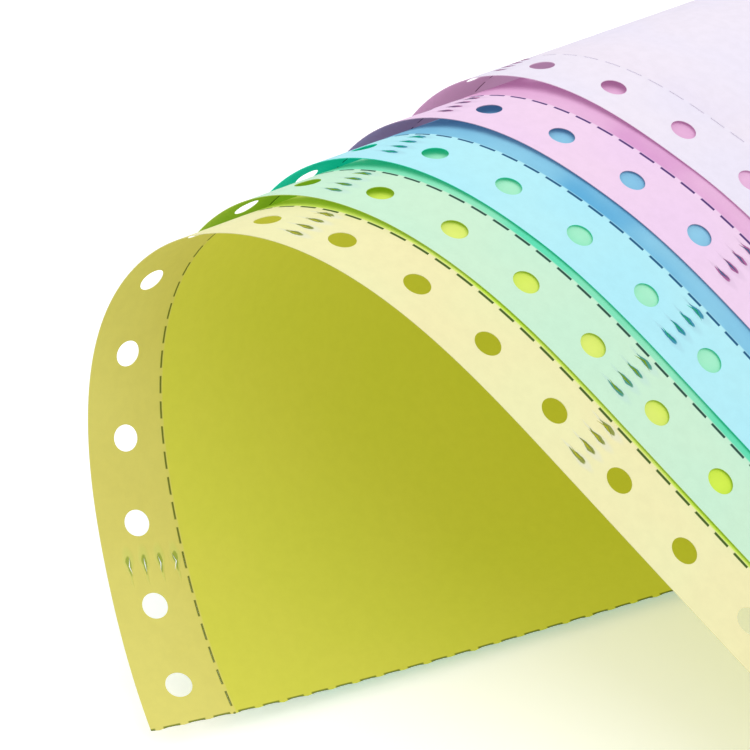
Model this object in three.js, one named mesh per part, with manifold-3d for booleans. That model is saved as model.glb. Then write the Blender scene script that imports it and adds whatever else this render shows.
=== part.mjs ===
// A torn-off set of continuous copy forms: five thin plies fanned apart sideways and curled into an arch.
// Each ply is a flat punched sheet bent without stretching, so it unrolls to its true size.
import * as THREE from 'three';
import { mergeVertices } from 'three/addons/utils/BufferGeometryUtils.js';
import Module from 'manifold-3d';

const wasm = await Module();
wasm.setup();

// One form, torn off at its cross perforations
const formLength = 279.4;
const formWidth = 241.3;
const paperThickness = 0.1;
const plyClearance = 0.3;

// Sprocket holes along both long margins
const holePitch = 12.7;
const holeToEdge = 6.35;
const holeRadius = 2;
const holeSides = 8;

// Bends along the bottom ply's front edge, measured from its curled end
const bends = [
  { at: -29, radius: Infinity },
  { at: 0, radius: 47.4 },
  { at: 25, radius: 95 },
  { at: 45, radius: 40 },
  { at: 62, radius: 25.5 },
  { at: 80, radius: 27.9 },
  { at: 100, radius: 38.2 },
  { at: 120, radius: 61 },
  { at: 140, radius: 166 },
  { at: 152, radius: Infinity },
];
const footRadius = 185;

// The lines that stay straight in the curl lean along the edge by this much for each mm of width
const crestAt = 104;
const crestLean = 0.2183;
const leanChange = -0.00159;
const leanSettles = -30;
const crestFall = THREE.MathUtils.degToRad(6);

// How far each ply is pushed back and along from the bottom one, and how far it bulges off it
const plies = [
  { name: 'yellow_ply', colour: 0xefecab, setback: 0, slip: 0, bulge: 0 },
  { name: 'green_ply', colour: 0xcff2da, setback: 13.4, slip: -3.1, bulge: 1.9 },
  { name: 'blue_ply', colour: 0xb5effc, setback: 27.6, slip: -3.4, bulge: 3.5 },
  { name: 'pink_ply', colour: 0xf4d6f6, setback: 44.1, slip: -4.8, bulge: 5.2 },
  { name: 'white_ply', colour: 0xf1ecfb, setback: 60.6, slip: -5.9, bulge: 7.8 },
];
const bulgeAt = 66;
const bulgeReach = 56;

// Fineness of the curve and of the facets
const curveStep = 1;
const halvings = 30;
const facetSag = 0.08;
const longestFacet = 40;
const cornerClearance = 0.6;
const smallestFacet = 1e-5;
const mergeDistance = 1e-4;
const punchStroke = 3;
const spareLength = formLength / 10;
const restSamples = [0, 0.125, 0.25, 0.375, 0.5, 0.625, 0.75, 0.875, 1];

const legStart = bends[bends.length - 1].at;

function bendCurvature(s) {
  const next = bends.findIndex((bend) => bend.at > s);
  const after = next < 0 ? bends[bends.length - 1] : bends[next];
  const before = next > 0 ? bends[next - 1] : after;
  const share = next > 0 ? (s - before.at) / (after.at - before.at) : 0;
  return (1 - share) / before.radius + share / after.radius;
}

function bendLean(s) {
  return crestLean + leanChange * (Math.max(s, leanSettles) - crestAt);
}

// Highest point of the edge: the sheet lies level along the edge and falls gently towards the rear
function crestFrame() {
  const turn = Math.atan(crestLean);
  const frame = {
    along: new THREE.Vector3(Math.cos(turn), Math.sin(turn), 0),
    inward: new THREE.Vector3(0, 0, -1),
    across: new THREE.Vector3(-Math.sin(turn), Math.cos(turn), 0),
  };
  const axis = new THREE.Vector3(1, 0, 0);
  Object.values(frame).forEach((vector) => vector.applyAxisAngle(axis, -crestFall));
  return { s: crestAt, point: new THREE.Vector3(), lean: crestLean, ...frame };
}

// One short step of the edge: its frame turns about the straight line that leaves it there
function stepped(from, step, curvature, lean) {
  const line = from.along.clone().multiplyScalar(lean).add(from.across);
  const angle = curvature * step * line.length();
  line.normalize();
  const along = from.along.clone().applyAxisAngle(line, angle);
  const middle = from.along.clone().add(along).multiplyScalar(step / 2);
  return {
    s: from.s + step,
    point: from.point.clone().add(middle),
    along,
    inward: from.inward.clone().applyAxisAngle(line, angle),
    across: from.across.clone().applyAxisAngle(line, angle),
    lean,
  };
}

function march(start, end, curvatureAt, leanAt) {
  const count = Math.max(1, Math.ceil(Math.abs(end - start.s) / curveStep));
  const step = (end - start.s) / count;
  const places = [start];
  for (let i = 0; i < count; i += 1) {
    const from = places[i];
    const middle = from.s + step / 2;
    const next = stepped(from, step, curvatureAt(middle), leanAt(middle));
    next.lean = leanAt(next.s);
    places.push(next);
  }
  return places;
}

// The whole curl: arch, straight leg, and foot that bends back towards the level
function curlPlaces() {
  const widest = formWidth + Math.max(...plies.map((ply) => ply.setback));
  const farLeft = -widest * bendLean(leanSettles) - spareLength;
  const left = march(crestFrame(), farLeft, bendCurvature, bendLean);
  const right = march(crestFrame(), legStart, bendCurvature, bendLean);
  const arch = [...left.slice(1).reverse(), ...right];

  const leg = right[right.length - 1];
  const footLean = leg.across.z / -leg.along.z;
  const footTurn = Math.acos(-leg.inward.z);
  const footStart = legStart + legLength(leg, leg.point.z - restHeight(arch), footTurn);
  const footEnd = footStart + (footTurn * footRadius) / Math.hypot(1, footLean);
  const curvatureAt = (s) => (s > footStart && s < footEnd ? -1 / footRadius : 0);
  const leanAt = (s) => {
    const leaning = Math.min(s, footStart);
    return THREE.MathUtils.mapLinear(leaning, legStart, footStart, leg.lean, footLean);
  };
  const straight = march(leg, footStart, curvatureAt, leanAt);
  const farRight = Math.max(formLength, footEnd) + widest * Math.abs(footLean) + spareLength;
  const foot = march(straight[straight.length - 1], farRight, curvatureAt, leanAt);
  return [...arch, ...straight.slice(1), ...foot.slice(1)];
}

// Straight length of the leg that lets the end of the bottom ply come down to the resting level
function legLength(leg, height, footTurn) {
  const remaining = formLength - legStart;
  const slope = -leg.along.z;
  const dropOf = (length) => {
    const turned = Math.min((remaining - length) / footRadius, footTurn);
    return length * slope + footRadius * (Math.cos(footTurn - turned) - Math.cos(footTurn));
  };
  let short = 0;
  let long = remaining;
  for (let i = 0; i < halvings; i += 1) {
    const middle = (short + long) / 2;
    if (dropOf(middle) < height) {
      short = middle;
    } else {
      long = middle;
    }
  }
  return (short + long) / 2;
}

// A ply as a surface: its inner face stands off the bottom ply, and its own length is counted along it
function layOnCurl(places, ply, layer) {
  const lifts = places.map((place) => liftAt(ply, layer, place.s));
  const developed = [0];
  for (let i = 1; i < places.length; i += 1) {
    const gap = places[i].s - places[i - 1].s;
    const turn = turnBetween(places[i - 1], places[i]);
    developed.push(developed[i - 1] + gap + (turn * (lifts[i - 1] + lifts[i])) / 2);
  }
  const anchor = developed[places.findIndex((place) => place.s >= legStart)];
  const lengths = developed.map((length) => length - anchor + legStart);
  const edges = {
    start: ply.slip,
    end: ply.slip + formLength,
    front: ply.setback,
    rear: ply.setback + formWidth,
  };
  return { places, lifts, lengths, edges };
}

function liftAt(ply, layer, s) {
  const reach = Math.min(Math.abs(s - bulgeAt) / bulgeReach, 1);
  return layer * (paperThickness + plyClearance) + ply.bulge * Math.cos((reach * Math.PI) / 2) ** 2;
}

// Turn of the edge between two places, positive where the curl closes
function turnBetween(from, to) {
  return to.along.clone().sub(from.along).dot(from.inward);
}

// Index, with a fraction, of the straight line that passes through a point of the unrolled sheet
function lineThrough(sheet, length, width) {
  const reachOf = (i) => sheet.lengths[i] + width * sheet.places[i].lean;
  let low = 0;
  let high = sheet.places.length - 1;
  while (high - low > 1) {
    const middle = Math.floor((low + high) / 2);
    if (reachOf(middle) > length) {
      high = middle;
    } else {
      low = middle;
    }
  }
  return low + (length - reachOf(low)) / (reachOf(high) - reachOf(low));
}

function between(sheet, index, pick) {
  const low = Math.min(Math.max(Math.floor(index), 0), sheet.places.length - 2);
  const share = index - low;
  const before = pick(low);
  const after = pick(low + 1);
  return before.isVector3 ? before.clone().lerp(after, share) : before + (after - before) * share;
}

function frameAt(sheet, index) {
  return {
    along: between(sheet, index, (i) => sheet.places[i].along).normalize(),
    inward: between(sheet, index, (i) => sheet.places[i].inward).normalize(),
    across: between(sheet, index, (i) => sheet.places[i].across).normalize(),
  };
}

// A point of the ply, raised outwards from its inner face
function pointOn(sheet, index, width, raise) {
  const frame = frameAt(sheet, index);
  const lean = between(sheet, index, (i) => sheet.places[i].lean);
  const lift = between(sheet, index, (i) => sheet.lifts[i]) + raise;
  return between(sheet, index, (i) => sheet.places[i].point)
    .addScaledVector(frame.along, lean * width)
    .addScaledVector(frame.across, width)
    .addScaledVector(frame.inward, -lift);
}

// Lowest level that the curled ends reach, which is the surface that the set lies on
function restHeight(arch) {
  const heights = plies.flatMap((ply, layer) => {
    const sheet = layOnCurl(arch, ply, layer);
    return restSamples.map((share) => {
      const width = THREE.MathUtils.lerp(sheet.edges.front, sheet.edges.rear, share);
      const index = lineThrough(sheet, sheet.edges.start, width);
      return pointOn(sheet, index, width, paperThickness).z;
    });
  });
  return Math.min(...heights);
}

// The stretch of one straight line that lies on the sheet
function spanOf(sheet, index) {
  const { start, end, front, rear } = sheet.edges;
  const length = between(sheet, index, (i) => sheet.lengths[i]);
  const lean = between(sheet, index, (i) => sheet.places[i].lean);
  const crossings = [(start - length) / lean, (end - length) / lean].sort((a, b) => a - b);
  const low = Math.max(front, crossings[0]);
  const high = Math.min(rear, crossings[1]);
  return [low, Math.max(low, high)];
}

// How far an arc stands off its chord, to a close approximation
function chordSag(turn, reach) {
  return (turn * reach) / 8;
}

// Straight lines at which the sheet is faceted: through its corners, and wherever it has turned enough
function facetLines(sheet) {
  const { start, end, front, rear } = sheet.edges;
  const corners = [
    lineThrough(sheet, start, front),
    lineThrough(sheet, start, rear),
    lineThrough(sheet, end, front),
    lineThrough(sheet, end, rear),
  ].sort((a, b) => a - b);
  const lines = [...corners];
  let last = corners[0];
  for (let i = Math.ceil(corners[0]); i < corners[3]; i += 1) {
    const reach = (i - last) * curveStep;
    const turn = frameAt(sheet, last).along.angleTo(sheet.places[i].along);
    if (chordSag(turn, reach) > facetSag || reach > longestFacet) {
      lines.push(i);
      last = i;
    }
  }
  const clearOfCorners = (line) => corners.every((corner) => Math.abs(corner - line) > cornerClearance);
  return lines.filter((line) => corners.includes(line) || clearOfCorners(line)).sort((a, b) => a - b);
}

function addTriangle(positions, a, b, c) {
  const area = new THREE.Triangle(a, b, c).getArea();
  if (area > smallestFacet) {
    positions.push(...a, ...b, ...c);
  }
}

function addQuad(positions, a, b, c, d) {
  addTriangle(positions, a, b, c);
  addTriangle(positions, a, c, d);
}

// The closed thin sheet before it is punched
function blankSheet(sheet) {
  const rows = facetLines(sheet).map((index) => {
    const [low, high] = spanOf(sheet, index);
    return {
      lowInner: pointOn(sheet, index, low, 0),
      highInner: pointOn(sheet, index, high, 0),
      lowOuter: pointOn(sheet, index, low, paperThickness),
      highOuter: pointOn(sheet, index, high, paperThickness),
    };
  });
  const positions = [];
  for (let i = 1; i < rows.length; i += 1) {
    const from = rows[i - 1];
    const to = rows[i];
    addQuad(positions, from.lowInner, from.highInner, to.highInner, to.lowInner);
    addQuad(positions, from.lowOuter, to.lowOuter, to.highOuter, from.highOuter);
    addQuad(positions, from.lowInner, to.lowInner, to.lowOuter, from.lowOuter);
    addQuad(positions, from.highInner, from.highOuter, to.highOuter, to.highInner);
  }
  const first = rows[0];
  const last = rows[rows.length - 1];
  addQuad(positions, first.lowInner, first.lowOuter, first.highOuter, first.highInner);
  addQuad(positions, last.lowInner, last.highInner, last.highOuter, last.lowOuter);
  const geometry = new THREE.BufferGeometry();
  geometry.setAttribute('position', new THREE.Float32BufferAttribute(positions, 3));
  return geometry;
}

// One punch through the sheet, square to its surface
function sprocketPunch(sheet, length, width) {
  const index = lineThrough(sheet, length, width);
  const frame = frameAt(sheet, index);
  const outward = frame.inward.clone().negate();
  const rearward = frame.across.clone().negate();
  const punch = new THREE.CylinderGeometry(holeRadius, holeRadius, punchStroke, holeSides);
  const placed = new THREE.Matrix4().makeBasis(frame.along, outward, rearward);
  placed.setPosition(pointOn(sheet, index, width, paperThickness / 2));
  punch.applyMatrix4(placed);
  return punch;
}

function sprocketPunches(sheet) {
  const { start, front, rear } = sheet.edges;
  const count = Math.round(formLength / holePitch);
  const punches = [];
  for (let i = 0; i < count; i += 1) {
    const length = start + holePitch * (i + 0.5);
    punches.push(sprocketPunch(sheet, length, front + holeToEdge));
    punches.push(sprocketPunch(sheet, length, rear - holeToEdge));
  }
  return punches;
}

function toSolid(geometry) {
  const bare = geometry.clone();
  bare.deleteAttribute('normal');
  bare.deleteAttribute('uv');
  const merged = mergeVertices(bare, mergeDistance);
  const mesh = new wasm.Mesh({
    numProp: 3,
    vertProperties: merged.attributes.position.array,
    triVerts: new Uint32Array(merged.index.array),
  });
  return new wasm.Manifold(mesh);
}

function toGeometry(solid) {
  const mesh = solid.getMesh();
  const geometry = new THREE.BufferGeometry();
  geometry.setAttribute('position', new THREE.BufferAttribute(mesh.vertProperties, 3));
  geometry.setIndex(new THREE.BufferAttribute(mesh.triVerts, 1));
  geometry.computeVertexNormals();
  return geometry;
}

function makePly(places, ply, layer) {
  const sheet = layOnCurl(places, ply, layer);
  const punches = sprocketPunches(sheet).map(toSolid);
  const punched = toSolid(blankSheet(sheet)).subtract(wasm.Manifold.union(punches));
  const paper = new THREE.MeshStandardMaterial({
    color: ply.colour,
    roughness: 0.85,
    metalness: 0,
    side: THREE.DoubleSide,
  });
  const mesh = new THREE.Mesh(toGeometry(punched), paper);
  mesh.name = ply.name;
  return mesh;
}

// The set stands on the origin's level, with the origin under the middle of its box
function centredOnRest(meshes) {
  const box = new THREE.Box3();
  meshes.forEach((mesh) => box.expandByObject(mesh, true));
  const middle = box.getCenter(new THREE.Vector3());
  meshes.forEach((mesh) => mesh.geometry.translate(-middle.x, -middle.y, -box.min.z));
}

const places = curlPlaces();
const meshes = plies.map((ply, layer) => makePly(places, ply, layer));
centredOnRest(meshes);

const copyForms = new THREE.Group();
copyForms.name = 'copy_forms';
copyForms.add(...meshes);

export default copyForms;
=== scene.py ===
import math

import bpy
import numpy as np
from mathutils import Matrix, Vector


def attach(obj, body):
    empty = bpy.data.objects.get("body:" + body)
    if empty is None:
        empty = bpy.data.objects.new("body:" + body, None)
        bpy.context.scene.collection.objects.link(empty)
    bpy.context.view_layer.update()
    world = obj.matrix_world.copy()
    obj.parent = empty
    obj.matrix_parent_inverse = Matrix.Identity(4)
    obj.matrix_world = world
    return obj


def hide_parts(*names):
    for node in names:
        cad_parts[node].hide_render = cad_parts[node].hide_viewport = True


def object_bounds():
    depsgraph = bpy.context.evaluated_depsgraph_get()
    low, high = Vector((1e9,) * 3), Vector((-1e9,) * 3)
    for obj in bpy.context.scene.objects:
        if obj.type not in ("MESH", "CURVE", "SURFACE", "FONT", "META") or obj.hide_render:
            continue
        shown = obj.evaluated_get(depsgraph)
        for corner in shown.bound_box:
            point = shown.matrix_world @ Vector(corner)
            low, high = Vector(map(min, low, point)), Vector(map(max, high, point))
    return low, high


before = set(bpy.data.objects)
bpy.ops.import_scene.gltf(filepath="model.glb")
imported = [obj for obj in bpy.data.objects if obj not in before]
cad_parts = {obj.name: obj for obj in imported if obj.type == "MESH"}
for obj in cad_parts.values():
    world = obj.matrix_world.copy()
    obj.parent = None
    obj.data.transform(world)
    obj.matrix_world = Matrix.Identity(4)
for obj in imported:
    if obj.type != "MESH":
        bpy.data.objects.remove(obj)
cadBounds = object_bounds()
print("frame loaded")

millimetre = 0.001
touching = 1e-6  # millimetres below which two places are one
snapDigits = 4  # decimals of a millimetre to which points are merged

# the photograph's viewpoint, found from the sprocket holes of all five plies, in millimetres
cameraSettings = {
    "position": (169.410, -344.822, 263.149),
    "look": (-0.5960299, 0.55650122, -0.57884196),
    "right": (0.69030932, 0.72335996, -0.01537186),
    "lens": 126.97,
    "sensor": 36,
    "clipStart": 10,
}


def addCamera(settings):
    look = Vector(settings["look"]).normalized()
    right = Vector(settings["right"])
    right = (right - look * right.dot(look)).normalized()
    up = right.cross(look)
    data = bpy.data.cameras.new("photoCamera")
    data.lens = settings["lens"]
    data.sensor_width = settings["sensor"]
    data.clip_start = settings["clipStart"] * millimetre
    camera = bpy.data.objects.new("photoCamera", data)
    turn = Matrix((right, up, -look)).transposed().to_4x4()
    place = Matrix.Translation(Vector(settings["position"]) * millimetre)
    camera.matrix_world = place @ turn
    bpy.context.scene.collection.objects.link(camera)
    bpy.context.scene.camera = camera


addCamera(cameraSettings)
print("camera placed")

# one form laid flat, in millimetres
form = {
    "length": 279.4,
    "width": 241.3,
    "thickness": 0.1,
    "clearance": 0.3,
    "pitch": 12.7,
    "margin": 12.7,
    "holeRadius": 2.0,
    "stepsPerPitch": 10,
    "bodyStep": 5,  # rows of the margin's mesh to one row of the body's
    "rings": (0.0, 0.05, 0.16, 0.36, 0.65, 1.0),  # from the hole to its square
    "slitHalfWidth": 0.025,
    "tieEvery": 3,
    "tearLength": 0.34,
    "shortestTear": 0.45,  # as a share of the longest
    "tearBetween": 0.12,
    "crimpAfter": (2, 8, 12, 16, 20),  # pitches from the start
    "crimpRows": (3, 5, 7, 9),
    "crimpHalfWidth": 0.13,
    "crimpStraighten": 0.5,
    "crimpRaise": 0.08,
    "smoothAngle": math.radians(40),
    "firstSeed": 11,
    "checkPoints": (111, 97),  # along and across, where the curl is set against the frame
}

# the curl of the bottom ply's front edge: distance along it and radius of the bend there
curl = {
    "bendAt": (-29, 0, 25, 45, 62, 80, 100, 120, 140, 152),
    "bendRadius": (math.inf, 47.4, 95, 40, 25.5, 27.9, 38.2, 61, 166, math.inf),
    "footRadius": 185,
    "crestAt": 104,
    "crestLean": 0.2183,
    "leanChange": -0.00159,
    "leanSettles": -30,
    "crestFall": math.radians(6),
    "bulgeAt": 66,
    "bulgeReach": 56,
    "legStart": 152,
    "spare": form["length"] / 10,
    "halvings": 30,
    "restSamples": 9,
}

# the five plies: how far each is pushed back and along, and how far it bulges off the bottom one
plies = {
    "yellow": {"setback": 0, "slip": 0, "bulge": 0},
    "green": {"setback": 13.4, "slip": -3.1, "bulge": 1.9},
    "blue": {"setback": 27.6, "slip": -3.4, "bulge": 3.5},
    "pink": {"setback": 44.1, "slip": -4.8, "bulge": 5.2},
    "white": {"setback": 60.6, "slip": -5.9, "bulge": 7.8},
}


def curlLean(s):
    return curl["crestLean"] + curl["leanChange"] * (max(s, curl["leanSettles"]) - curl["crestAt"])


def curlTurn(s):
    return float(np.interp(s, curl["bendAt"], [1 / radius for radius in curl["bendRadius"]]))


def turned(vectors, axis, angle):
    cosine, sine = math.cos(angle), math.sin(angle)
    along = np.outer(vectors @ axis, axis)
    return vectors * cosine + np.cross(axis, vectors) * sine + along * (1 - cosine)


def march(start, end, turnAt, leanAt):
    # the edge goes on in short steps, and its frame turns about the straight line that leaves it
    s, point, axes, _ = start
    count = max(1, math.ceil(abs(end - s)))
    step = (end - s) / count
    places = [start]
    for _ in range(count):
        middle = s + step / 2
        line = axes[0] * leanAt(middle) + axes[2]
        size = np.linalg.norm(line)
        after = turned(axes, line / size, turnAt(middle) * step * size)
        point = point + (axes[0] + after[0]) * step / 2
        axes = after
        s += step
        places.append((s, point, axes, leanAt(s)))
    return places


class Curl:
    def __init__(self, places):
        self.s = np.array([place[0] for place in places])
        self.point = np.array([place[1] for place in places])
        self.axes = np.array([place[2] for place in places])
        self.lean = np.array([place[3] for place in places])


class Ply:
    # a ply as a surface over the curl, with its own length counted along it, so it stays unstretched
    def __init__(self, base, settings, layer):
        self.base = base
        self.start = settings["slip"]
        self.front = settings["setback"]
        reach = np.minimum(np.abs(base.s - curl["bulgeAt"]) / curl["bulgeReach"], 1)
        spacing = layer * (form["thickness"] + form["clearance"])
        self.lift = spacing + settings["bulge"] * np.cos(reach * np.pi / 2) ** 2
        gaps = np.diff(base.s)
        turns = np.einsum("ij,ij->i", np.diff(base.axes[:, 0], axis=0), base.axes[:-1, 1])
        grown = gaps + turns * (self.lift[:-1] + self.lift[1:]) / 2
        developed = np.concatenate([[0], np.cumsum(grown)])
        anchor = developed[np.argmax(base.s >= curl["legStart"] - touching)]
        self.length = developed - anchor + curl["legStart"]

    def at(self, u, v, raised):
        u, v = np.broadcast_arrays(np.asarray(u, float) + self.start, np.asarray(v, float) + self.front)
        lean = self.base.lean
        low = np.zeros(u.shape, int)
        high = np.full(u.shape, len(lean) - 1)
        while np.any(high - low > 1):
            middle = (low + high) // 2
            over = self.length[middle] + v * lean[middle] > u
            high = np.where(over, middle, high)
            low = np.where(over, low, middle)
        before = self.length[low] + v * lean[low]
        after = self.length[high] + v * lean[high]
        share = ((u - before) / (after - before))[..., None]

        def mix(values):
            return values[low] * (1 - share) + values[low + 1] * share

        def unit(vectors):
            return vectors / np.linalg.norm(vectors, axis=-1, keepdims=True)

        along, inward, across = (unit(mix(self.base.axes[:, i])) for i in range(3))
        out = mix(self.lift[:, None]) + raised
        sideways = (along * mix(lean[:, None]) + across) * v[..., None]
        return mix(self.base.point) + sideways - inward * out


def crestPlace():
    # the highest place of the edge: level along the edge, and falling gently towards the rear
    angle = math.atan(curl["crestLean"])
    axes = np.array([
        [math.cos(angle), math.sin(angle), 0],
        [0, 0, -1],
        [-math.sin(angle), math.cos(angle), 0],
    ])
    axes = turned(axes, np.array([1.0, 0, 0]), -curl["crestFall"])
    return (curl["crestAt"], np.zeros(3), axes, curl["crestLean"])


def restHeight(arch):
    # the lowest level that the curled ends reach, which is the level that the set lies on
    base = Curl(arch)
    widths = form["width"] * np.linspace(0, 1, curl["restSamples"])
    heights = []
    for layer, settings in enumerate(plies.values()):
        points = Ply(base, settings, layer).at(0.0, widths, form["thickness"])
        heights.append(points[:, 2].min())
    return min(heights)


def legLength(leg, height, footTurn):
    # straight length of the leg that lets the end of the bottom ply come down to the resting level
    remaining = form["length"] - curl["legStart"]
    slope = -leg[2][0][2]
    short, long = 0, remaining
    for _ in range(curl["halvings"]):
        length = (short + long) / 2
        turn = min((remaining - length) / curl["footRadius"], footTurn)
        drop = length * slope + curl["footRadius"] * (math.cos(footTurn - turn) - math.cos(footTurn))
        if drop < height:
            short = length
        else:
            long = length
    return (short + long) / 2


def curlPlaces():
    widest = form["width"] + max(settings["setback"] for settings in plies.values())
    farLeft = -widest * curlLean(curl["leanSettles"]) - curl["spare"]
    left = march(crestPlace(), farLeft, curlTurn, curlLean)
    right = march(crestPlace(), curl["legStart"], curlTurn, curlLean)
    arch = left[:0:-1] + right

    leg = right[-1]
    footLean = leg[2][2][2] / -leg[2][0][2]
    footTurn = math.acos(-leg[2][1][2])
    footStart = curl["legStart"] + legLength(leg, leg[1][2] - restHeight(arch), footTurn)
    footEnd = footStart + footTurn * curl["footRadius"] / math.hypot(1, footLean)

    def turnAt(s):
        return -1 / curl["footRadius"] if footStart < s < footEnd else 0

    def leanAt(s):
        share = (min(s, footStart) - curl["legStart"]) / (footStart - curl["legStart"])
        return leg[3] + (footLean - leg[3]) * share

    straight = march(leg, footStart, turnAt, leanAt)
    farRight = max(form["length"], footEnd) + widest * abs(footLean) + curl["spare"]
    foot = march(straight[-1], farRight, turnAt, leanAt)
    return arch + straight[1:] + foot[1:]


base = Curl(curlPlaces())
surfaces = {}
for layer, (colour, settings) in enumerate(plies.items()):
    surfaces[colour] = Ply(base, settings, layer)


def frameShift():
    # moves the curl from its crest to the place where the CAD model has it
    countAlong, countAcross = form["checkPoints"]
    along = np.linspace(0, form["length"], countAlong)
    u, v = np.meshgrid(along, np.linspace(0, form["width"], countAcross))
    points = []
    for surface in surfaces.values():
        for raised in (0, form["thickness"]):
            points.append(surface.at(u, v, raised).reshape(-1, 3))
    points = np.concatenate(points)
    low, high = points.min(0), points.max(0)
    cadLow, cadHigh = (np.array(corner) / millimetre for corner in cadBounds)
    shift = (cadLow + cadHigh) / 2 - (low + high) / 2
    shift[2] = cadLow[2] - low[2]
    return shift


shift = frameShift()
print("curl worked out")


# the flat pattern: punched squares for the margins, ties across the perforations, and a plain body
fineStep = form["pitch"] / form["stepsPerPitch"]
columnCount = round(form["length"] / fineStep)
rowCount = round(form["width"] / fineStep)
marginRows = round(form["margin"] / fineStep)


class Pattern:
    def __init__(self):
        self.points = []
        self.index = {}
        self.faces = []

    def vertex(self, corner):
        key = (round(corner[0], snapDigits), round(corner[1], snapDigits))
        if key not in self.index:
            self.index[key] = len(self.points)
            self.points.append(corner if len(corner) == 3 else (corner[0], corner[1], 0.0))
        return self.index[key]

    def face(self, corners):
        self.faces.append([self.vertex(corner) for corner in corners])


def squareRim(half, low, high, steps):
    across = np.linspace(-half, half, steps + 1)[:-1]
    upwards = np.linspace(low, high, steps + 1)[:-1]
    rim = [(u, low) for u in across]
    rim += [(half, v) for v in upwards]
    rim += [(-u, high) for u in across]
    rim += [(-half, low + high - v) for v in upwards]
    return np.array(rim)


def crimped(column, rowsIn):
    return round(column / form["stepsPerPitch"]) in form["crimpAfter"] and rowsIn in form["crimpRows"]


def addPunchedSquare(pattern, number, rear):
    half = form["pitch"] / 2
    slit = form["slitHalfWidth"]
    steps = form["stepsPerPitch"]
    low, high = (slit - half, half) if rear else (-half, half - slit)
    middle = ((number + 0.5) * form["pitch"], form["width"] - half if rear else half)
    square = squareRim(half, low, high, steps)
    circle = square / np.linalg.norm(square, axis=1, keepdims=True) * form["holeRadius"]
    rings = [circle + (square - circle) * share for share in form["rings"]]

    # each crimp is a narrow opening from one square into the next, pressed up on one side
    pressed = []
    for i in range(len(square)):
        onSide = abs(abs(square[i][0]) - half) < touching
        fromEdge = (high - square[i][1]) if rear else (square[i][1] - low)
        rowsIn = round(fromEdge / (high - low) * steps)
        column = (middle[0] + square[i][0]) / fineStep
        pressed.append(onSide and crimped(column, rowsIn))
        if pressed[i]:
            rings[-2][i][1] += (square[i][1] - rings[-2][i][1]) * form["crimpStraighten"]

    def outermost(i, other):
        if not pressed[i]:
            return tuple(square[i] + middle)
        side = 1 if square[other][1] > square[i][1] else -1
        place = square[i] + middle
        return (place[0], place[1] + side * form["crimpHalfWidth"], side * form["crimpRaise"])

    for i in range(len(square)):
        j = (i + 1) % len(square)
        for inner, outer in zip(rings[:-2], rings[1:-1]):
            pattern.face([inner[i] + middle, outer[i] + middle, outer[j] + middle, inner[j] + middle])
        pattern.face([rings[-2][i] + middle, outermost(i, j), outermost(j, i), rings[-2][j] + middle])


def rowPlace(row):
    # the body's outermost rows lie behind the perforation's cuts
    if row == marginRows:
        return form["margin"] + form["slitHalfWidth"]
    if row == rowCount - marginRows:
        return form["width"] - form["margin"] - form["slitHalfWidth"]
    return row * fineStep


def addTies(pattern):
    for column in range(0, columnCount, form["tieEvery"]):
        left, right = column * fineStep, (column + 1) * fineStep
        for line in (form["margin"], form["width"] - form["margin"]):
            low, high = line - form["slitHalfWidth"], line + form["slitHalfWidth"]
            pattern.face([(left, low), (right, low), (right, high), (left, high)])


def addBody(pattern):
    for row in range(marginRows, rowCount - marginRows, form["bodyStep"]):
        top = row + form["bodyStep"]
        for column in range(columnCount):
            left, right = column * fineStep, (column + 1) * fineStep
            rightRows = range(row, top + 1) if column == columnCount - 1 else (row, top)
            leftRows = range(top, row - 1, -1) if column == 0 else (top, row)
            corners = [(right, rowPlace(i)) for i in rightRows]
            pattern.face(corners + [(left, rowPlace(i)) for i in leftRows])


def flatPattern():
    pattern = Pattern()
    for number in range(round(form["length"] / form["pitch"])):
        addPunchedSquare(pattern, number, rear=False)
        addPunchedSquare(pattern, number, rear=True)
    addTies(pattern)
    addBody(pattern)
    return np.array(pattern.points), pattern.faces


flatPoints, flatFaces = flatPattern()
print("flat pattern:", len(flatPoints), "points,", len(flatFaces), "faces")


# paper, drawn from each sheet's own flat map
def srgb(code):
    values = [int(code[i:i + 2], 16) / 255 for i in (0, 2, 4)]
    return [v / 12.92 if v <= 0.04045 else ((v + 0.055) / 1.055) ** 2.4 for v in values] + [1]


class Nodes:
    # short calls for building one node tree
    def __init__(self, owner):
        owner.use_nodes = True
        self.tree = owner.node_tree
        self.tree.nodes.clear()

    def add(self, kind, **values):
        node = self.tree.nodes.new(kind)
        for name, value in values.items():
            setattr(node, name, value)
        return node

    def link(self, source, target):
        self.tree.links.new(source, target)

    def put(self, socket, value):
        if isinstance(value, bpy.types.NodeSocket):
            self.link(value, socket)
        else:
            socket.default_value = value

    def fill(self, node, *values):
        for socket, value in zip(node.inputs, values):
            self.put(socket, value)
        return node.outputs[0]

    def math(self, operation, *values):
        return self.fill(self.add("ShaderNodeMath", operation=operation), *values)

    def range(self, value, low, high, start=0.0, end=1.0):
        node = self.add("ShaderNodeMapRange", interpolation_type="SMOOTHSTEP")
        return self.fill(node, value, low, high, start, end)

    def mix(self, share, first, second, blend="MIX"):
        node = self.add("ShaderNodeMix", data_type="RGBA", blend_type=blend)
        for number, value in ((0, share), (6, first), (7, second)):
            self.put(node.inputs[number], value)
        return node.outputs[2]

    def noise(self, vector, scale, detail=3.0, rough=0.5):
        node = self.add("ShaderNodeTexNoise")
        settings = {"Vector": vector, "Scale": scale, "Detail": detail, "Roughness": rough}
        for name, value in settings.items():
            self.put(node.inputs[name], value)
        return node.outputs["Fac"]


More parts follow.
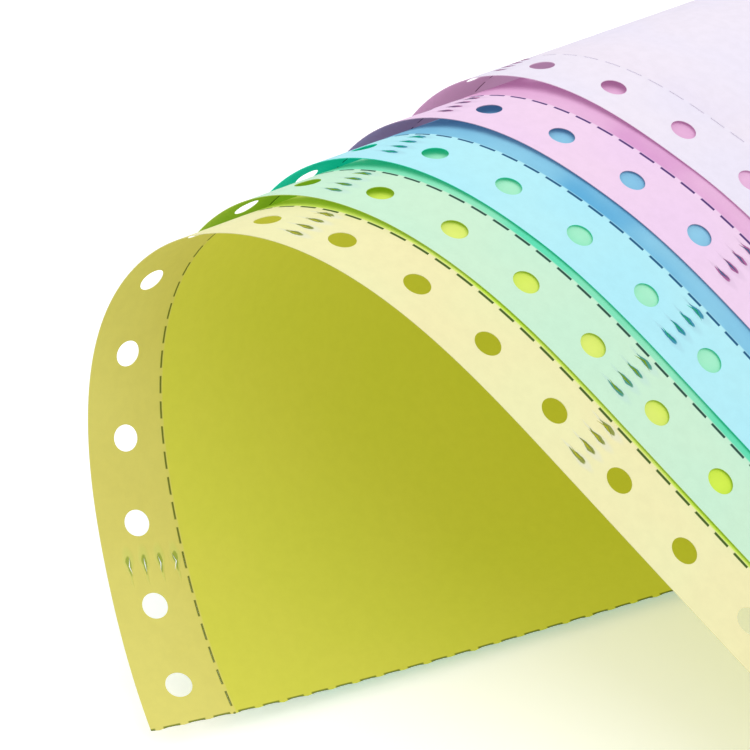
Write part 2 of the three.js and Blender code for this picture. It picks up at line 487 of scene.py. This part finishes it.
def newMaterial(name):
    # a faint glow needn't be sampled as a lamp, which would only slow the render
    material = bpy.data.materials.new(name)
    material.cycles.emission_sampling = "NONE"
    n = Nodes(material)
    shader = n.add("ShaderNodeBsdfPrincipled")
    output = n.add("ShaderNodeOutputMaterial")
    n.link(shader.outputs[0], output.inputs[0])
    return material, n, shader


# perforation and tear line: places along a dash are shares of its period, the rest is in millimetres
cuts = {
    "period": 3.81,
    "middle": 0.6667,
    "half": 0.3333,
    "endBlur": 0.05,
    "sideBlur": (0.7, 1.25),  # times half the width of the cut
    "wander": 0.4,
    "tearShift": 0.1667,
    "tearDash": (0.13, 0.2),
    "tearReach": (0.12, 0.26),
    "groove": 0.08,
    "strength": 0.96,  # share of the tint that the cut's painted shade covers
    "shade": 0.9,  # share of the glow that the cut takes away
}

# crimp locks, in millimetres; edge and halo are squared distances from the middle, in crimp sizes
crimps = {
    "at": (25.4, 101.6, 152.4, 203.2, 254.0),
    "first": 3.79,
    "spacing": 2.53,
    "lastRow": 3.0,
    "length": 1.6,
    "tip": 0.7,  # share of the length where it is widest
    "thinnest": 0.25,
    "width": 0.5,
    "wander": 0.5,
    "edge": (0.7, 1.15),
    "halo": (1.0, 5.0),
    "strength": 0.92,
    "haloStrength": 0.5,
    "ridge": 0.1,
}

# tint and fibres of the paper: each noise is its scale, detail and roughness, next to the range used
weave = {
    "gloss": 0.25,
    "wobbleNoise": (0.9, 2.0),
    "bodyEdge": (0.1, 0.5),
    # width of the painted shade next to the perforation
    "shadedBandWidth": 14.0,
    "driftNoise": (0.045, 2.0),
    "drift": (0.35, 0.65),
    "cloudNoise": (0.5, 4.0, 0.6),
    "clouds": (0.3, 0.7),
    "cloudTone": 0.965,
    "fibreNoise": (2.2, 5.0, 0.65),
    "fibres": (0.25, 0.75),
    "roughSpread": 0.07,
    "fibreRelief": 0.016,
    "bump": 0.6,
}


class FlatPlace:
    # where a point of the paper lies on the flat sheet, in millimetres
    def __init__(self, n):
        uv = n.add("ShaderNodeUVMap", uv_map="flat")
        scaled = n.add("ShaderNodeVectorMath", operation="SCALE")
        n.link(uv.outputs[0], scaled.inputs[0])
        scaled.inputs["Scale"].default_value = form["length"]
        split = n.add("ShaderNodeSeparateXYZ")
        n.link(scaled.outputs[0], split.inputs[0])
        self.vector = scaled.outputs[0]
        self.u, self.v = split.outputs[0], split.outputs[1]
        self.fromEdge = n.math("MINIMUM", self.v, n.math("SUBTRACT", form["width"], self.v))
        self.fromEnd = n.math("MINIMUM", self.u, n.math("SUBTRACT", form["length"], self.u))
        self.wobble = n.math("SUBTRACT", n.noise(self.vector, *weave["wobbleNoise"]), 0.5)


def cutMask(n, place, halfWidth):
    # dashes along both perforations, and the notches between the ties of both torn ends, painted dark
    # as shade in the cuts
    along = n.math("ADD", place.u, n.math("MULTIPLY", place.wobble, cuts["wander"]))
    along = n.math("FRACT", n.math("DIVIDE", along, cuts["period"]))
    fromMiddle = n.math("ABSOLUTE", n.math("SUBTRACT", along, cuts["middle"]))
    dash = n.range(fromMiddle, cuts["half"], cuts["half"] + cuts["endBlur"], 1.0, 0.0)
    offLine = n.math("ABSOLUTE", n.math("SUBTRACT", place.fromEdge, form["margin"]))
    near, far = (halfWidth * blur for blur in cuts["sideBlur"])
    slit = n.math("MULTIPLY", dash, n.range(offLine, near, far, 1.0, 0.0))

    across = n.math("ADD", n.math("DIVIDE", place.v, cuts["period"]), cuts["tearShift"])
    fromTie = n.math("ABSOLUTE", n.math("SUBTRACT", n.math("FRACT", across), 0.5))
    notch = n.range(fromTie, *cuts["tearDash"])
    tear = n.math("MULTIPLY", notch, n.range(place.fromEnd, *cuts["tearReach"], 1.0, 0.0))
    return n.math("MAXIMUM", slit, tear)


def fromNearestCrimp(n, u):
    # signed distance along the sheet from the nearest column of crimps
    nearest = signed = None
    for column in crimps["at"]:
        distance = n.math("SUBTRACT", u, column)
        size = n.math("ABSOLUTE", distance)
        if nearest is None:
            nearest, signed = size, distance
        else:
            closer = n.math("LESS_THAN", size, nearest)
            step = n.math("MULTIPLY", closer, n.math("SUBTRACT", distance, signed))
            signed = n.math("ADD", signed, step)
            nearest = n.math("MINIMUM", size, nearest)
    return signed


def crimpMasks(n, place):
    # painted shade in the crimp's opening, pointed at one end, and the soft halo that it is pressed
    # into
    row = n.math("SUBTRACT", place.fromEdge, crimps["first"])
    number = n.math("ROUND", n.math("DIVIDE", row, crimps["spacing"]))
    number = n.math("MINIMUM", n.math("MAXIMUM", number, 0.0), crimps["lastRow"])
    sideways = n.math("SUBTRACT", row, n.math("MULTIPLY", number, crimps["spacing"]))
    sideways = n.math("ADD", sideways, n.math("MULTIPLY", place.wobble, crimps["wander"]))
    signed = fromNearestCrimp(n, place.u)
    tip = crimps["length"] * crimps["tip"]
    taper = n.range(signed, -crimps["length"], tip, crimps["thinnest"], 1.0)
    along = n.math("POWER", n.math("DIVIDE", signed, crimps["length"]), 2.0)
    wide = n.math("DIVIDE", sideways, n.math("MULTIPLY", taper, crimps["width"]))
    field = n.math("ADD", along, n.math("POWER", wide, 2.0))
    crimp = n.range(field, *crimps["edge"], 1.0, 0.0)
    halo = n.range(field, *crimps["halo"], 1.0, 0.0)
    return crimp, halo


def bodyMask(n, place):
    start, end = (form["margin"] + edge for edge in weave["bodyEdge"])
    return n.range(place.fromEdge, start, end)


def paperTint(n, place, paper, body, cut, crimp, halo):
    # painted shade: the body beyond the perforation is darker than the margin, partly its own tint and
    # partly painted shade, and darkest in a band next to the perforation where the ply above shades it
    pastShadedBand = n.range(place.fromEdge, form["margin"], form["margin"] + weave["shadedBandWidth"])
    tint = n.mix(pastShadedBand, srgb(paper["shadedBand"]), srgb(paper["body"]))
    tint = n.mix(body, srgb(paper["margin"]), tint)
    broad = n.noise(place.vector, *weave["driftNoise"])
    broad = n.range(broad, *weave["drift"], 0.0, paper["drift"])
    tint = n.mix(broad, tint, srgb(paper["warm"]))
    cloudy = n.range(n.noise(place.vector, *weave["cloudNoise"]), *weave["clouds"])
    cloudy = n.mix(cloudy, [weave["cloudTone"]] * 3 + [1], (1, 1, 1, 1))
    tint = n.mix(1.0, tint, cloudy, "MULTIPLY")
    tint = n.mix(n.math("MULTIPLY", halo, crimps["haloStrength"]), tint, srgb(paper["crease"]))
    # painted shade in the crimp's opening
    tint = n.mix(n.math("MULTIPLY", crimp, crimps["strength"]), tint, srgb(paper["slit"]))
    # painted shade in the perforation dashes and torn notches
    return n.mix(n.math("MULTIPLY", cut, cuts["strength"]), tint, srgb(paper["cutShade"]))


def addPaintedGlow(n, shader, paper, body, cut):
    # painted glow standing in for light that comes through the thin sheet, less at the cuts
    extra = n.math("MULTIPLY", body, paper["bodyGlowing"] - paper["glowing"])
    through = n.math("ADD", extra, paper["glowing"])
    shaded = n.math("SUBTRACT", 1.0, n.math("MULTIPLY", cut, cuts["shade"]))
    paintedGlowColour = n.mix(n.math("MULTIPLY", through, shaded), (0, 0, 0, 1), srgb(paper["glow"]))
    n.link(paintedGlowColour, shader.inputs["Emission Color"])
    shader.inputs["Emission Strength"].default_value = 1.0


def addRelief(n, shader, fibres, cut, crimp, halo):
    relief = n.math("MULTIPLY", fibres, weave["fibreRelief"])
    relief = n.math("SUBTRACT", relief, n.math("MULTIPLY", cut, cuts["groove"]))
    pressed = n.math("MULTIPLY", n.math("SUBTRACT", halo, crimp), crimps["ridge"])
    relief = n.math("ADD", relief, pressed)
    bump = n.add("ShaderNodeBump")
    bump.inputs["Strength"].default_value = weave["bump"]
    bump.inputs["Distance"].default_value = millimetre
    n.link(relief, bump.inputs["Height"])
    n.link(bump.outputs[0], shader.inputs["Normal"])


def sheetPaper(name, paper):
    # tinted bond paper: a paler punched margin, a body tint with painted shade, cuts and crimps painted
    # dark as shade in them, and fibre relief
    material, n, shader = newMaterial(name)
    shader.inputs["Specular IOR Level"].default_value = weave["gloss"]
    place = FlatPlace(n)
    cut = cutMask(n, place, paper["cut"])
    crimp, halo = crimpMasks(n, place)
    body = bodyMask(n, place)
    n.link(paperTint(n, place, paper, body, cut, crimp, halo), shader.inputs["Base Color"])
    if paper["bodyGlowing"]:
        addPaintedGlow(n, shader, paper, body, cut)

    fibres = n.noise(place.vector, *weave["fibreNoise"])
    smooth, coarse = paper["rough"] - weave["roughSpread"], paper["rough"] + weave["roughSpread"]
    n.link(n.range(fibres, *weave["fibres"], smooth, coarse), shader.inputs["Roughness"])
    addRelief(n, shader, fibres, cut, crimp, halo)
    return material


# outer face and underside of each ply: the colours of its places, then how strong each effect is; the
# undersides are the same papers painted darker and more saturated as painted shade, with painted
# reflected colour from the plies around them, and the glow colours are painted light through the sheets
papers = {
    "yellow": {
        "outer": {
            "margin": "ECEAB4", "shadedBand": "C6E24C", "body": "C6DC48", "warm": "F2E0AC", "glow": "9CC020",
            "crease": "DCE0D0", "slit": "7F8A28", "cutShade": "385A08",
            "drift": 0.3, "rough": 0.82, "cut": 0.24, "glowing": 0.0, "bodyGlowing": 0.2,
        },
        "inner": {
            "margin": "D8CE78", "shadedBand": "BCB94E", "body": "BBB94D", "warm": "C8B85E", "glow": "A0A628",
            "crease": "C4CC74", "slit": "8A9C44", "cutShade": "7C8430",
            "drift": 0.2, "rough": 0.86, "cut": 0.17, "glowing": 0.24, "bodyGlowing": 0.55,
        },
    },
    "green": {
        "outer": {
            "margin": "C6EBD0", "shadedBand": "58CFA8", "body": "AAE6C8", "warm": "D0EACC", "glow": "20B088",
            "crease": "BCDCD4", "slit": "2F8A78", "cutShade": "004038",
            "drift": 0.35, "rough": 0.82, "cut": 0.24, "glowing": 0.0, "bodyGlowing": 0.2,
        },
        "inner": {
            "margin": "AAB868", "shadedBand": "9CB850", "body": "9CC054", "warm": "B4BC78", "glow": "7CA824",
            "crease": "A0B878", "slit": "5C7C3C", "cutShade": "2C4A1C",
            "drift": 0.3, "rough": 0.86, "cut": 0.17, "glowing": 0.35, "bodyGlowing": 0.45,
        },
    },
    "blue": {
        "outer": {
            "margin": "AEE8F4", "shadedBand": "56A0C8", "body": "76AED2", "warm": "BAECEE", "glow": "3A88B8",
            "crease": "A4D2E0", "slit": "1880A0", "cutShade": "005484",
            "drift": 0.35, "rough": 0.82, "cut": 0.24, "glowing": 0.0, "bodyGlowing": 0.2,
        },
        "inner": {
            "margin": "48C8B6", "shadedBand": "34C0AE", "body": "44C6B6", "warm": "54C8B4", "glow": "10AC94",
            "crease": "50A898", "slit": "1C7868", "cutShade": "0E5048",
            "drift": 0.3, "rough": 0.86, "cut": 0.17, "glowing": 0.4, "bodyGlowing": 0.45,
        },
    },
    "pink": {
        "outer": {
            "margin": "ECCEEC", "shadedBand": "CC92C2", "body": "D4A0C8", "warm": "F0D4E6", "glow": "B07CA4",
            "crease": "D8BCD8", "slit": "A0508C", "cutShade": "4E2C78",
            "drift": 0.35, "rough": 0.82, "cut": 0.24, "glowing": 0.0, "bodyGlowing": 0.2,
        },
        "inner": {
            "margin": "B69AAE", "shadedBand": "AE90A6", "body": "B294AE", "warm": "BA9CAE", "glow": "967890",
            "crease": "80708C", "slit": "584070", "cutShade": "3C2850",
            "drift": 0.3, "rough": 0.86, "cut": 0.17, "glowing": 0.35, "bodyGlowing": 0.45,
        },
    },
    "white": {
        "outer": {
            "margin": "E8E2F2", "shadedBand": "E8E0F0", "body": "E9E3F3", "warm": "F0E6EE", "glow": "D0C0E0",
            "crease": "E4DCEC", "slit": "DED4E8", "cutShade": "DFD7EA",
            "drift": 0.4, "rough": 0.8, "cut": 0.2, "glowing": 0.0, "bodyGlowing": 0.0,
        },
        "inner": {
            "margin": "D2BECE", "shadedBand": "CCB4C8", "body": "CEBACE", "warm": "D4C0CC", "glow": "AE98AC",
            "crease": "A87898", "slit": "8A5080", "cutShade": "5C2850",
            "drift": 0.3, "rough": 0.86, "cut": 0.17, "glowing": 0.35, "bodyGlowing": 0.45,
        },
    },
}


def selectOnly(piece):
    bpy.ops.object.select_all(action="DESELECT")
    piece.select_set(True)
    bpy.context.view_layer.objects.active = piece


def tornPattern(seed):
    # the ties between the cuts of the tear line break unevenly, and stand out from both ends
    random = np.random.default_rng(seed)
    points = flatPoints.copy()
    for end, outwards in ((0.0, -1), (form["length"], 1)):
        rows = np.where(np.abs(points[:, 0] - end) < touching)[0]
        ties = np.round(points[rows, 1] / fineStep).astype(int) % form["tieEvery"] == 1
        lengths = form["tearLength"] * random.uniform(form["shortestTear"], 1.0, len(rows))
        points[rows, 0] += outwards * np.where(ties, lengths, lengths * form["tearBetween"])
    return points


def sheetMesh(name, points, outer):
    mesh = bpy.data.meshes.new(name)
    mesh.from_pydata((outer * millimetre).tolist(), [], flatFaces)
    uv = mesh.uv_layers.new(name="flat")
    corners = np.array([loop.vertex_index for loop in mesh.loops])
    uv.data.foreach_set("uv", (points[corners, :2] / form["length"]).astype(np.float32).ravel())
    return mesh


def makePly(colour, seed):
    name = colour + "Sheet"
    points = tornPattern(seed)
    raised = form["thickness"] + points[:, 2:]
    outer = surfaces[colour].at(points[:, 0], points[:, 1], raised) + shift
    mesh = sheetMesh(name, points, outer)
    mesh.materials.append(sheetPaper(colour + "Paper", papers[colour]["outer"]))
    # the underside material carries the painted shade and painted reflected colour of the ply's inner
    # face
    mesh.materials.append(sheetPaper(colour + "ShadedUnderside", papers[colour]["inner"]))
    piece = bpy.data.objects.new(name, mesh)
    bpy.context.scene.collection.objects.link(piece)

    selectOnly(piece)
    thick = piece.modifiers.new("thickness", "SOLIDIFY")
    thick.thickness = form["thickness"] * millimetre
    thick.offset = -1
    thick.material_offset = 1
    # above the bottom ply, the cut edges take the underside's painted shade, so they show as darker
    # lines
    thick.material_offset_rim = 0 if colour == "yellow" else 1
    bpy.ops.object.modifier_apply(modifier=thick.name)
    bpy.ops.object.shade_smooth_by_angle(angle=form["smoothAngle"])
    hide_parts(colour + "_ply")
    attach(piece, "root")
    print(colour, "sheet made:", len(piece.data.polygons), "faces")


for seed, colour in enumerate(plies, start=form["firstSeed"]):
    makePly(colour, seed)


# studio: plain pale floor, a pale surround, and soft light from above and from the left, in metres
studio = {
    "floorSize": 9.0,
    "floorTone": 0.94,
    "floorRough": 0.9,
    "floorSeen": 0.32,
    "surround": 0.8,
    "keyPower": 5.6,
    "keySize": 1.2,
    "keyFrom": (0.45, 0.05, 0.95),
    "fillPower": 2.2,
    "fillSize": 0.9,
    "fillFrom": (-0.65, -0.3, 0.6),
}


def addFloor(settings):
    # the camera sees the floor a little brighter than it is, so it looks white and keeps the shadow
    bpy.ops.mesh.primitive_plane_add(size=settings["floorSize"], location=(0, 0, 0))
    floor = bpy.context.object
    floor.name = "studioFloor"
    material, n, shader = newMaterial("floorPaint")
    tone = settings["floorTone"]
    shader.inputs["Base Color"].default_value = (tone, tone, tone, 1)
    shader.inputs["Roughness"].default_value = settings["floorRough"]
    shader.inputs["Emission Color"].default_value = (1, 1, 1, 1)
    path = n.add("ShaderNodeLightPath")
    seen = n.math("MULTIPLY", path.outputs["Is Camera Ray"], settings["floorSeen"])
    n.link(seen, shader.inputs["Emission Strength"])
    floor.data.materials.append(material)


def addSoftLight(kind, settings):
    light = bpy.data.lights.new(kind + "Light", "AREA")
    light.energy = settings[kind + "Power"]
    light.size = settings[kind + "Size"]
    lamp = bpy.data.objects.new(kind + "Light", light)
    place = Vector(settings[kind + "From"])
    lamp.location = place
    lamp.rotation_euler = (-place).to_track_quat("-Z", "Y").to_euler()
    bpy.context.scene.collection.objects.link(lamp)


def addSurround(settings):
    # lights the sheets evenly, and is paler to the camera and in gloss
    world = bpy.data.worlds.new("studioSurround")
    bpy.context.scene.world = world
    n = Nodes(world)
    lighting = n.add("ShaderNodeBackground")
    lighting.inputs["Strength"].default_value = settings["surround"]
    seen = n.add("ShaderNodeBackground")
    path = n.add("ShaderNodeLightPath")
    shiny = n.math("MAXIMUM", path.outputs["Is Glossy Ray"], path.outputs["Is Transmission Ray"])
    anySeen = n.math("MAXIMUM", path.outputs["Is Camera Ray"], shiny)
    blend = n.add("ShaderNodeMixShader")
    output = n.add("ShaderNodeOutputWorld")
    n.link(n.fill(blend, anySeen, lighting.outputs[0], seen.outputs[0]), output.inputs[0])


addFloor(studio)
addSoftLight("key", studio)
addSoftLight("fill", studio)
addSurround(studio)
bpy.context.scene.view_settings.view_transform = "Standard"
print("studio lit")
